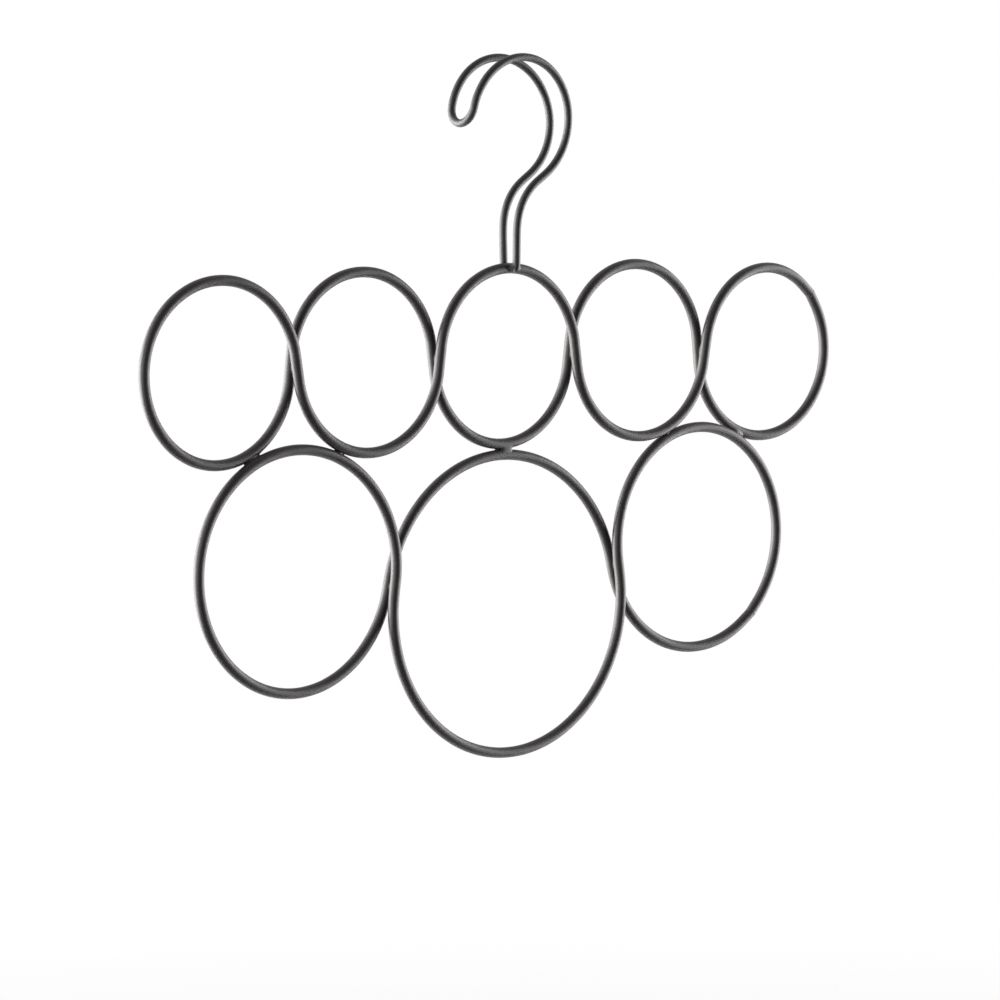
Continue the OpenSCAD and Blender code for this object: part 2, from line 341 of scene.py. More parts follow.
def ring_piece(
    name: str,
    rings: Array,
    poles: Array,
    run: Array,
    marks: dict[str, Array],
    crease: float = 42.0,
) -> bpy.types.Object:
    """Makes a closed piece from rings of points that are carried between two poles.

    Args:
        name: The piece's name.
        rings: Points in millimetres, ring by ring, each ring closed on itself.
        poles: The two points that close the first and the last ring.
        run: Distance along the piece of each ring, for the U of its map.
        marks: A value for each ring's points, by name, for the material to read.
        crease: Edges sharper than this many degrees stay sharp.

    Returns:
        The piece, with outward faces, at the origin.
    """
    count, sides = rings.shape[:2]
    points = np.concatenate([rings.reshape(-1, 3), poles]) * MM
    i, j = np.meshgrid(np.arange(count - 1), np.arange(sides), indexing="ij")
    here, following = i * sides + j, i * sides + (j + 1) % sides
    quads = np.stack([here, following, following + sides, here + sides], -1).reshape(-1, 4)
    k = np.arange(sides)
    first = np.stack([np.full(sides, count * sides), (k + 1) % sides, k], -1)
    base = (count - 1) * sides
    last = np.stack([np.full(sides, count * sides + 1), base + k, base + (k + 1) % sides], -1)
    around = np.arange(sides + 1) / sides
    quad_u = np.stack([run[i], run[i], run[i + 1], run[i + 1]], -1).reshape(-1)
    quad_v = np.stack([around[j], around[j + 1], around[j + 1], around[j]], -1).reshape(-1)
    cap_v = np.stack([around[k], around[k + 1], around[k]], -1).reshape(-1)
    u = np.concatenate([quad_u, np.full(3 * sides, run[0]), np.full(3 * sides, run[-1])]) * MM
    v = np.concatenate([quad_v, cap_v, cap_v])
    a, b, c = (points[quads[:, n]] for n in (0, 1, 2))
    if np.sum(np.cross(a, b) * c) < 0:
        quads, first, last = quads[:, ::-1], first[:, ::-1], last[:, ::-1]
        for layer in (u, v):
            layer[: quads.size] = layer[: quads.size].reshape(-1, 4)[:, ::-1].ravel()
    mesh = bpy.data.meshes.new(name)
    mesh.from_pydata(points.tolist(), [], quads.tolist() + first.tolist() + last.tolist())
    layer = mesh.uv_layers.new(name="run")
    layer.data.foreach_set("uv", np.stack([u, v], -1).astype(np.float32).ravel())
    for mark, values in marks.items():
        spread = np.broadcast_to(values if values.ndim == 2 else values[:, None], (count, sides))
        ends = [float(spread[0].mean()), float(spread[-1].mean())]
        flat = np.concatenate([spread.ravel(), ends]).astype(np.float32)
        mesh.attributes.new(mark, "FLOAT", "POINT").data.foreach_set("value", flat)
    mesh.shade_smooth()
    mesh.set_sharp_from_angle(angle=math.radians(crease))
    mesh.update()
    piece = bpy.data.objects.new(name, mesh)
    bpy.context.scene.collection.objects.link(piece)
    return piece


@dataclass(frozen=True)
class WireStock:
    """Round wire as it leaves the coating line: its size, its skin and its sheared ends.

    Each wave of the skin has a share, a length along the wire, a count around it and a
    phase. A sheared end is pinched thinner, shifted to the left and rounded at its rim.
    Each ring on its flat face has a share of the face's width, a height and a mark that
    says how thin the skin is.
    """

    diameter: float
    sides: int
    step: float
    unevenness: float = 0.022
    skin_waves: tuple[tuple[float, float, float, float], ...] = (
        (1.0, 5.3, 2.0, 0.0),
        (0.8, 3.1, -1.0, 1.7),
        (0.6, 1.9, 3.0, 0.6),
    )
    calm_end: float = 6.0
    sheared_edge: float = 0.62
    pinch: float = 0.52
    pinch_length: float = 3.4
    pinch_shift: float = -0.42
    rim_mark: float = 0.5
    face_rings: tuple[tuple[float, float, float], ...] = ((0.65, 0.0, 0.35), (0.3, -0.05, 0.25))
    dish: float = 0.06

    def skin(self, run: Array, around: Array) -> Array:
        """Works out the wire's radius all over a stretch of it.

        Args:
            run: Distances along the wire.
            around: Angles around the wire, in radians.

        Returns:
            Half the diameter, plus three slow waves along and around the wire that fade
            to nothing at both its ends.
        """
        s, a = run[:, None], around[None, :]
        total = sum(x[0] for x in self.skin_waves)
        ripple = sum(x[0] * np.cos(s / x[1] + x[2] * a + x[3]) for x in self.skin_waves)
        fade = eased(np.minimum(s, run[-1] - s) / self.calm_end)
        return self.diameter / 2 + self.unevenness * ripple / total * fade

    def drawn(
        self, name: str, line: Line, start: End, finish: End, marks: dict[str, Array]
    ) -> bpy.types.Object:
        """Carries the wire's section along a centre line.

        Args:
            name: The piece's name.
            line: The centre line.
            start: How the wire starts.
            finish: How the wire finishes.
            marks: A value for each point of the centre line, by name.

        Returns:
            The piece: point + radius x (cos a x normal + sin a x side), closed at both
            ends. Toward a sheared end each ring shrinks about the centre line by the pinch
            times the square of its nearness to the end, and shifts with it.
        """
        around = round_the_clock(self.sides)
        circle, run, middle = line.circle(around), line.lengths, line.points[:, None]
        rings = middle + self.skin(run, around)[:, :, None] * circle
        squeeze = self._nearness(run) * (start is End.SHEARED)
        squeeze = squeeze + self._nearness(run[-1] - run) * (finish is End.SHEARED)
        rings = rings + squeeze[:, None, None] * (self._aside - self.pinch * (rings - middle))
        poles = np.stack([line.points[0], line.points[-1]])
        values = {**marks, "edge": np.zeros(len(run)), "run": run}
        for index, end in ((0, start), (-1, finish)):
            if end is End.SHEARED:
                rings, values = self._sheared(index, line, circle[index], rings, values)
                outward = self._outward(index, line)
                poles[index] = line.points[index] + self._aside - self.dish * outward
        return ring_piece(name, rings, poles, values.pop("run"), values)

    @property
    def _aside(self) -> Array:
        """Returns how far the shear pushes the very end of the wire to the left."""
        return np.array([self.pinch_shift, 0.0, 0.0])

    @staticmethod
    def _outward(index: int, line: Line) -> Array:
        """Returns the direction out of the wire at its start (0) or its finish (-1)."""
        return -line.tangents[0] if index == 0 else line.tangents[-1]

    def _sheared(
        self, index: int, line: Line, circle: Array, rings: Array, values: dict[str, Array]
    ) -> tuple[Array, dict[str, Array]]:
        """Rounds one end of the wire over, where the shear has pinched it.

        Args:
            index: 0 for the start of the wire and -1 for its finish.
            line: The centre line.
            circle: Directions across the wire at its end.
            rings: The rings so far.
            values: The marks of the rings, and their distances along the wire.

        Returns:
            The rings and the marks, with a quarter-round rim and a flat face in place of
            the last bit of wire. The rim's mark rises with the sine of the bend.
        """
        edge, run = self.sheared_edge, values["run"]
        bend = np.radians(np.arange(15, 91, 15))
        share, height, mark = np.array(self.face_rings).T
        reach = np.concatenate([edge * np.sin(bend) - edge, height])
        close = self._nearness(-reach)
        full = self.diameter / 2 * (1 - self.pinch * close)
        rim = full[: len(bend)] - edge + edge * np.cos(bend)
        width = np.concatenate([rim, share * (full[len(bend)] - edge)])
        extra = line.points[index] + close[:, None, None] * self._aside
        extra = extra + reach[:, None, None] * self._outward(index, line)
        extra = extra + width[:, None, None] * circle
        added = {key: np.full(len(reach), value[index]) for key, value in values.items()}
        added["edge"] = np.concatenate([self.rim_mark * np.sin(bend), mark])
        added["run"] = run[index] + (-reach if index == 0 else reach)
        keep = run > edge if index == 0 else run < run[-1] - edge

        def extended(kept: Array, new: Array) -> Array:
            """Returns what is kept with the new end before or after it."""
            return np.concatenate([new[::-1], kept] if index == 0 else [kept, new])

        values = {key: extended(value[keep], added[key]) for key, value in values.items()}
        return extended(rings[keep], extra), values

    def _nearness(self, back: Array) -> Array:
        """Returns 1 at a sheared end, falling as a square to 0 where the pinch starts."""
        return np.clip(1 - back / self.pinch_length, 0, 1) ** 2


# Welds

WRAP = 0.95  # share of a wire's radius that weld metal may wrap
NUDGE = 0.01  # share of a distance over which a slope is taken


@dataclass(frozen=True)
class Strand:
    """One of the two wires at a weld, near the place where they touch.

    Its centre line there is a parabola: half its curve, toward the other wire, times the
    square of the distance along it.
    """

    radius: float
    direction: Array
    curve: float = 0.0

    def reach(self, angle: Array, axes: Array) -> Array:
        """Returns how far out this wire still has a face, in each direction."""
        across = self._across(axes)
        sine = np.abs(np.cos(angle) * across[0] + np.sin(angle) * across[1])
        return WRAP * self.radius / np.maximum(sine, 1e-6)

    def height(self, rho: Array, angle: Array, axes: Array, shift: float) -> Array:
        """Works out the wire's face, seen from the place of contact.

        Args:
            rho: Distance out from the contact, in the plane that the wires touch.
            angle: Direction of that distance.
            axes: The two unit directions that the angle is measured in.
            shift: How far along the wire the place lies from the contact.

        Returns:
            Height toward the other wire: the centre line's parabola, plus the square root
            of the radius squared less the distance across squared, less the radius.
        """
        across = self._across(axes)
        z = rho * (np.cos(angle) * across[0] + np.sin(angle) * across[1])
        x = rho * (np.cos(angle) * across[1] - np.sin(angle) * across[0]) + shift
        round_off = np.sqrt(np.maximum(self.radius**2 - z**2, 0)) - self.radius
        return 0.5 * self.curve * x**2 + round_off

    def _across(self, axes: Array) -> Array:
        """Returns the direction across the wire, in the two axes."""
        along = unit(axes @ self.direction)
        return np.array([-along[1], along[0]])


@dataclass(frozen=True)
class Bead:
    """How the metal of a weld lies: how far it runs each way, how square and how full.

    Ahead and behind count along the weld's lay, and the shift, tail and lean with them.
    The skirt widens it on the far wire, and the painted highlight side is the side of the
    metal on which a pale highlight is painted.
    """

    ahead: float
    behind: float
    side: float
    crisp_ahead: float = 2.0
    crisp_behind: float = 2.0
    shift: float = 0.0
    skirt: float = 1.0
    swell: float = 0.0
    tail: float = 0.0
    lean: float = 0.0
    # painted highlight: the side of the weld metal that is painted pale
    painted_highlight_side: tuple[float, float, float] = (0.0, 0.0, 0.0)
    uneven: float = 0.015
    tail_width: float = 0.6
    tail_crisp: float = 1.6
    merging: float = 6.0
    ripples: tuple[Wave, ...] = ((1.0, 2, 1.0), (0.7, 3, 2.1), (0.5, 7, -1.0))

    def outline(self, angle: Array, phase: float) -> Array:
        """Works out how far the metal reaches from the contact, in each direction.

        Args:
            angle: Directions, from the lay.
            phase: Where its slow waves start.

        Returns:
            (|cos a / length|^n + |sin a / side|^n)^(-1/n), with one length and one n ahead
            and another pair behind, times a few slow waves. An n near 1 draws the metal in
            to a point, and one over 2 squares it off. A thin tail may run on behind.
        """
        c, s = np.cos(angle), np.abs(np.sin(angle))
        length = np.where(c > 0, self.ahead, self.behind)
        crisp = np.where(c > 0, self.crisp_ahead, self.crisp_behind)
        plain = ((np.abs(c) / length) ** crisp + (s / self.side) ** crisp) ** (-1 / crisp)
        if self.tail:
            n, m = self.tail_crisp, self.merging
            thin = ((np.abs(c) / self.tail) ** n + (s / self.tail_width) ** n) ** (-1 / n)
            plain = (plain**m + (thin * (c < 0)) ** m) ** (1 / m)
        ripple = waves(angle, *((x[0], x[1], x[2] * phase) for x in self.ripples))
        return plain * (1 + self.uneven * ripple)


@dataclass(frozen=True)
class Fillet:
    """Weld metal, and the powder pooled on it, between two wires that all but touch.

    Its spokes crowd toward the sides, its two faces start from a small core and are sunk
    into the wires by the inset, and the waist says how far in the hollow between may lie.
    """

    place: Array
    normal: Array
    lay: Array
    near: Strand
    far: Strand
    gap: float
    bead: Bead
    phase: float = 0.0
    spokes: int = 144
    crowding: float = 0.4
    core: float = 0.08
    inset: float = 0.05
    face_rings: int = 9
    span_rings: int = 12
    waist: tuple[float, float] = (0.3, 0.97)
    least_spread: float = 0.001
    # painted highlight: how sharply, and from where, the pale side of the metal starts
    painted_highlight_slope: float = 2.0
    painted_highlight_start: float = 0.2
    map_length: float = 8.0
    crease: float = 80.0

    def piece(self, name: str) -> bpy.types.Object:
        """Builds the fillet.

        Args:
            name: The piece's name.

        Returns:
            The piece. Each direction round the contact has one profile: out along one
            wire's face, over to the other face on a curve that leaves both faces without
            an edge, and back in along the other face. That curve is a parabola whose
            middle point is where the slopes of the two faces meet.
        """
        angle = round_the_clock(self.spokes)
        angle = angle - self.crowding * np.sin(2 * angle)
        lay, normal, shift = unit(self.lay), unit(self.normal), self.bead.shift
        axes = np.stack([lay, unit(np.cross(self.normal, self.lay))])
        rho = self.bead.outline(angle, self.phase)
        half = self.gap / 2
        edges, heights, slopes = [], [], []
        for strand, sign, skirt in ((self.near, -1.0, 1.0), (self.far, 1.0, self.bead.skirt)):
            edge = np.minimum(rho * skirt, strand.reach(angle, axes))
            outer = strand.height(edge, angle, axes, shift)
            inner = strand.height(edge * (1 - NUDGE), angle, axes, shift)
            edges.append(edge)
            heights.append(sign * (half - outer))
            slopes.append(-sign * (outer - inner) / (edge * NUDGE))
        least, most = np.minimum(*edges), np.maximum(*edges)
        tight = heights[1] - heights[0] + slopes[0] * edges[0] - slopes[1] * edges[1]
        spread = slopes[0] - slopes[1]
        spread = np.where(np.abs(spread) < self.least_spread, -self.least_spread, spread)
        waist = np.clip(tight / spread, self.waist[0] * least, self.waist[1] * least)
        waist = waist + self.bead.swell * (most - waist)
        middle = (heights[0] + heights[1]) / 2
        out = np.linspace(self.core, 1.0, self.face_rings)[:, None]
        sunk = self.inset * (1 - out**4)
        near_rho, far_rho = out * edges[0], (out * edges[1])[::-1]
        near_h = self.near.height(near_rho, angle, axes, shift) - half - sunk
        far_h = half - self.far.height(far_rho, angle, axes, shift) + sunk[::-1]
        t = np.linspace(0.0, 1.0, self.span_rings + 2)[1:-1, None]
        span_rho, span_h = (
            (1 - t) ** 2 * ends[0] + 2 * t * (1 - t) * between + t**2 * ends[1]
            for ends, between in ((edges, waist), (heights, middle))
        )
        radius = np.concatenate([near_rho, span_rho, far_rho])[:, :, None]
        height = np.concatenate([near_h, span_h, far_h])[:, :, None]
        direction = np.cos(angle)[:, None] * axes[0] + np.sin(angle)[:, None] * axes[1]
        pole = self.place + shift * lay
        rings = pole + radius * direction + height * (normal + self.bead.lean * lay)
        poles = np.stack([pole + sign * (half + self.inset) * normal for sign in (-1, 1)])
        # Painted highlight: the middle of the span, on the side that the bead points to, is
        # marked in the edge mark to take the coat's pale colour.
        face = np.zeros((self.face_rings, 1))
        painted_highlight_crest = np.concatenate([face, 4 * t * (1 - t), face])
        toward = direction @ np.array(self.bead.painted_highlight_side)
        painted_highlight = painted_highlight_crest * eased(self.painted_highlight_slope * toward - self.painted_highlight_start)
        run = np.linspace(0, self.map_length, len(rings))
        return ring_piece(name, rings, poles, run, {"edge": painted_highlight}, self.crease)

    def lay_on(self, node: str) -> None:
        """Builds the fillet and lets it stand for its node."""
        place_piece(self.piece(node + "_metal"), node, WELD_COAT)


# Shader nodes


class Value:
    """A socket that takes part in arithmetic, adding the Math nodes for it."""

    def __init__(self, nodes: "Nodes", socket: bpy.types.NodeSocket) -> None:
        """Wraps a socket of a node tree."""
        self.nodes = nodes
        self.socket = socket

    def _math(self, operation: str, *operands: Any) -> "Value":
        """Returns the outcome of one Math node."""
        return self.nodes.add("ShaderNodeMath", dict(enumerate(operands)), operation=operation)

    def __add__(self, other: Any) -> "Value":
        """Returns the sum."""
        return self._math("ADD", self, other)

    __radd__ = __add__

    def __sub__(self, other: Any) -> "Value":
        """Returns the difference."""
        return self._math("SUBTRACT", self, other)

    def __rsub__(self, other: Any) -> "Value":
        """Returns the difference the other way round."""
        return self._math("SUBTRACT", other, self)

    def __mul__(self, other: Any) -> "Value":
        """Returns the product."""
        return self._math("MULTIPLY", self, other)

    __rmul__ = __mul__

    def __pow__(self, other: Any) -> "Value":
        """Returns the power."""
        return self._math("POWER", self, other)

    def clipped(self) -> "Value":
        """Returns the value held between 0 and 1."""
        return self._math("MINIMUM", self._math("MAXIMUM", self, 0.0), 1.0)


class Nodes:
    """A node tree that is filled from code."""

    def __init__(self, tree: bpy.types.NodeTree) -> None:
        """Empties a tree and gets ready to fill it."""
        self.tree = tree
        tree.nodes.clear()

    def add(
        self, kind: str, inputs: dict[Any, Any] | None = None, output: Any = 0, **settings: Any
    ) -> Value:
        """Adds one node.

        Args:
            kind: The node's type.
            inputs: Values or links of its sockets, by name or number.
            output: Name or number of the socket to return.
            **settings: Properties that are set before its sockets, such as an operation.

        Returns:
            One of the node's outputs, or its first input where it has none.
        """
        node = self.tree.nodes.new(kind)
        for key, value in settings.items():
            setattr(node, key, value)
        for key, value in (inputs or {}).items():
            if isinstance(value, Value):
                self.tree.links.new(value.socket, node.inputs[key])
            else:
                node.inputs[key].default_value = value
        return Value(self, node.outputs[output] if len(node.outputs) else node.inputs[0])

    def noise(self, place: Value, scale: float, detail: float = 2.0) -> Value:
        """Returns soft noise about 0, from -0.5 to 0.5, at so many waves a metre."""
        inputs = {"Vector": place, "Scale": scale, "Detail": detail, "Roughness": 0.5}
        return self.add("ShaderNodeTexNoise", inputs, "Fac", noise_dimensions="3D") - 0.5

    def blend(self, factor: Any, first: Any, second: Any) -> Value:
        """Returns the mix of two colours."""
        return self.add("ShaderNodeMix", {0: factor, 6: first, 7: second}, 2, data_type="RGBA")


# Finishes


@dataclass(frozen=True)
class PowderCoat:
    """Satin black powder, baked on steel: an even skin with a fine orange peel.

    The colour drifts a little over a few centimetres, where the powder lies thicker. The
    skin shines more where it has flowed out, and is thin and paler on a sheared edge. On
    the hook's welds that pale colour is a painted highlight, laid on one side of the metal.
    The tone and the roughness start from a middle, and drift, cloud, grain and drawing lines
    each add a share.
    """

    slot: str
    deep: Colour = (0.030, 0.0285, 0.0275, 1.0)
    pale: Colour = (0.041, 0.039, 0.038, 1.0)
    # pale colour of thin, worn skin, and on the welds of a painted highlight
    thin_skin_and_highlight: Colour = (0.20, 0.19, 0.185, 1.0)
    tone: float = 0.45
    tone_shares: tuple[float, ...] = (1.3, 0.7, 0.4, 0.3)
    roughness: float = 0.28
    rough_shares: tuple[float, ...] = (0.06, 0.036, 0.04, 0.03)
    rough_edge: float = 0.12
    polish: float = 0.10
    thin_skin_and_highlight_share: tuple[float, float] = (0.75, 1.1)
    drift_waves: float = 45.0
    cloud_waves: float = 190.0
    peel: float = 0.3
    peel_waves: float = 380.0
    peel_depth: float = 0.00004
    grain_waves: float = 3000.0
    draw_waves: float = 160.0
    draw_lines: float = 2.4
    coat: float = 0.8
    coat_lost: float = 0.5
    coat_drift: float = 0.3
    coat_roughness: float = 0.23
    bending_of_light: float = 1.55
    along_wire: bool = False

    def material(self) -> bpy.types.Material:
        """Builds the material.

        Returns:
            A material whose colour, roughness, coat and relief are all worked out from
            noise over the piece, and from the marks that its mesh carries.
        """
        material = bpy.data.materials.new(self.slot)
        material.use_nodes = True
        nodes = Nodes(material.node_tree)
        place = nodes.add("ShaderNodeTexCoord", output="Object")
        drift = nodes.noise(place, self.drift_waves, 3.0)
        cloud = nodes.noise(place, self.cloud_waves, 2.0)
        peel = nodes.noise(place, self.peel_waves, 0.0)
        grain = nodes.noise(place, self.grain_waves, 1.0)
        # The edge mark is thin, worn skin on wires and seams, and a painted highlight on the
        # welds.
        edge = nodes.add("ShaderNodeAttribute", output="Fac", attribute_name="edge")
        noises = (drift, cloud, grain)
        tone = sum((a * b for a, b in zip(self.tone_shares, noises)), self.tone).clipped()
        rough = sum((a * b for a, b in zip(self.rough_shares, noises)), self.roughness)
        if self.along_wire:
            draw = nodes.noise(self._unrolled(nodes), 1.0, 2.0)
            rub = nodes.add("ShaderNodeAttribute", output="Fac", attribute_name="rub")
            tone = (tone + self.tone_shares[-1] * draw).clipped()
            rough = rough + self.rough_shares[-1] * draw - self.polish * rub
        least, by_cloud = self.thin_skin_and_highlight_share
        # Blends in the pale colour: worn skin on wires and seams, a painted highlight on the
        # welds.
        thin = (edge * (least + by_cloud * cloud)).clipped()
        colour = nodes.blend(thin, nodes.blend(tone, self.deep, self.pale), self.thin_skin_and_highlight)
        coat = self.coat - self.coat_lost * edge + self.coat_drift * drift
        relief = {"Strength": self.peel, "Distance": self.peel_depth, "Height": peel + cloud}
        bump = nodes.add("ShaderNodeBump", relief)
        shader = nodes.add(
            "ShaderNodeBsdfPrincipled",
            {
                "Base Color": colour,
                "Roughness": (rough + self.rough_edge * edge).clipped(),
                "Coat Weight": coat.clipped(),
                "Coat Roughness": self.coat_roughness,
                "IOR": self.bending_of_light,
                "Coat IOR": self.bending_of_light,
                "Normal": bump,
            },
        )
        nodes.add("ShaderNodeOutputMaterial", {"Surface": shader})
        return material

    def _unrolled(self, nodes: Nodes) -> Value:
        """Returns the place on the wire, stretched along it and closed around it."""
        uv = nodes.add("ShaderNodeUVMap", uv_map="run")
        split = nodes.add("ShaderNodeSeparateXYZ", {0: uv}, "X")
        turn = Value(nodes, split.socket.node.outputs["Y"]) * (2 * math.pi)
        places = {0: split * self.draw_waves}
        for axis, kind in ((1, "COSINE"), (2, "SINE")):
            around = nodes.add("ShaderNodeMath", {0: turn}, operation=kind)
            places[axis] = around * self.draw_lines
        return nodes.add("ShaderNodeCombineXYZ", places)

    def dress(self, piece: bpy.types.Object) -> None:
        """Gives a piece this finish, as its one material, named by the slot."""
        material = bpy.data.materials.get(self.slot) or self.material()
        piece.data.materials.clear()
        piece.data.materials.append(material)


ROW_COAT = PowderCoat("row_coat", along_wire=True)
HOOK_COAT = PowderCoat("hook_coat", roughness=0.27, along_wire=True)
WELD_COAT = PowderCoat(
    "weld_coat",
    pale=(0.046, 0.044, 0.0425, 1.0),
    # painted highlight: the pale colour laid on one side of the hook's welds
    thin_skin_and_highlight=(0.62, 0.61, 0.6, 1.0),
    roughness=0.34,
    peel=0.4,
    coat=0.5,
)
SEAM_COAT = PowderCoat(
    "seam_coat",
    deep=(0.034, 0.032, 0.031, 1.0),
    pale=(0.056, 0.053, 0.051, 1.0),
    roughness=0.32,
    peel=0.5,
    coat=0.7,
)


def place_piece(piece: bpy.types.Object, node: str, finish: PowderCoat) -> None:
    """Dresses a piece, sets it on the hanger and lets it stand for its node.

    Args:
        piece: The new piece.
        node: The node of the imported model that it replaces.
        finish: Its finish.
    """
    finish.dress(piece)
    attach(piece, BODY)
    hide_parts(node)
    LOG.info("%s: %d faces, %s", piece.name, len(piece.data.polygons), finish.slot)


# The hook


@dataclass
class Hook:
    """The hook: one wire, doubled, with its two legs straddling the middle upper loop."""

    stock: WireStock = WireStock(diameter=3.6, sides=40, step=0.5)
    loop_wire: float = 4.8
    loop_radius: float = 39.6
    leg_gap: float = 0.2
    leg_offset: float = 0.9
    leg_foot: float = 1.6
    leg_length: float = 17.4
    leg_lean: float = 1.3
    neck_radius: float = 25.8
    neck_turn: float = 59.3
    neck_length: float = 3.2
    arch_radius: float = 28.6
    arch_turn: float = 226.6
    arch_roll: float = 2.0
    easing: float = 3.0
    unbent_tip: float = 14.0
    rubbed: float = 7.0
    rubbed_depth: float = 3.0
    weld: Bead = Bead(
        ahead=2.2,
        behind=3.15,
        side=1.9,
        crisp_ahead=2.6,
        skirt=1.35,
        swell=0.6,
        # painted highlight on the right and lower side of the weld metal
        painted_highlight_side=(0.7, 0.0, -0.7),
    )
    stretches: list[Arc | Rod] = field(init=False)
    tip: Arc = field(init=False)
    seat: Array = field(init=False)
    leg_direction: Array = field(init=False)

    def __post_init__(self) -> None:
        """Follows the front leg from the loop up to the tip, and finds the seat."""
        lean = math.radians(self.leg_lean)
        self.leg_direction = np.array([0, -math.sin(lean), math.cos(lean)])
        depth = (self.loop_wire + self.stock.diameter) / 2 + self.leg_gap
        root = np.array([self.leg_offset, -depth, self.loop_radius])
        leg = Stance(root, self.leg_direction, ALONG)
        shoulder = leg.ahead(self.leg_length)
        neck = self._bend(shoulder, self.neck_radius, self.neck_turn)
        slope = neck.finish()
        rise = slope.ahead(self.neck_length)
        arch = self._bend(rise.rolled(180 + self.arch_roll), self.arch_radius, self.arch_turn)
        end = arch.finish().facing(ACROSS)
        radius = -end.point[1] / end.bend[1]
        half_turn = math.degrees(math.atan2(end.bend[1], end.direction[1]))
        self.tip = self._bend(end, radius, 2 * half_turn)
        leg_rod = Rod(leg.ahead(-self.leg_foot).point, shoulder.point)
        self.stretches = [leg_rod, neck, Rod(slope.point, rise.point), arch]
        plane = np.cross(arch.out, arch.along)
        top = arch.centre + self.arch_radius * unit(UP - plane[2] * plane)
        self.seat = np.array([top[0], 0, top[2] - self.stock.diameter / 2])

    @staticmethod
    def _bend(stance: Stance, radius: float, turn: float) -> Arc:
        """Returns the bend that leaves a stance with a radius and a turn."""
        centre = stance.point + radius * stance.bend
        return Arc(centre, -stance.bend, stance.direction, radius, turn)

    def centre_line(self) -> Line:
        """Returns the whole wire's centre line: up one leg, round the tip, down the other."""
        up = eased_bends(joined(self.stretches, self.stock.step), self.easing, self.unbent_tip)
        tip = self.tip.line(self.stock.step, up.normals[-1])
        mirror = 1.0 - 2 * ACROSS
        parts = (up.points, -up.tangents, up.normals)
        down = Line(*(part[::-1] * mirror for part in parts))
        roll = rolled_by(down.normals[0], down.sides[0], tip.normals[-1])
        down.normals = swung(down.normals, down.sides, roll)
        line = chained([up, tip, down])
        line.points = line.points - self.seat
        return line

    def build(self) -> None:
        """Draws the wire, rubbed a little where it sits on its rail, and its two welds."""
        line = self.centre_line()
        x, height = line.points[:, 0], line.points[:, 2]
        rub = np.exp(-((x / self.rubbed) ** 2)) * (height > -self.rubbed_depth)
        wire = self.stock.drawn("hook_wire", line, End.SHEARED, End.SHEARED, {"rub": rub})
        place_piece(wire, "hook", HOOK_COAT)
        for side, name in ((-1, "front_leg_weld"), (1, "rear_leg_weld")):
            self._weld(side).lay_on(name)

    def _weld(self, side: int) -> Fillet:
        """Returns the weld between a leg and the loop's wire behind or before it."""
        depth = side * (self.loop_wire + self.leg_gap) / 2
        direction = self.leg_direction * np.array([1, -side, 1])
        return Fillet(
            place=np.array([self.leg_offset, depth, self.loop_radius]) - self.seat,
            normal=-side * ACROSS,
            lay=-ALONG,
            near=Strand(self.stock.diameter / 2, direction),
            far=Strand(self.loop_wire / 2, ALONG),
            gap=self.leg_gap,
            bead=self.weld,
            phase=0.8 if side < 0 else 2.9,
        )


# The rows of loops


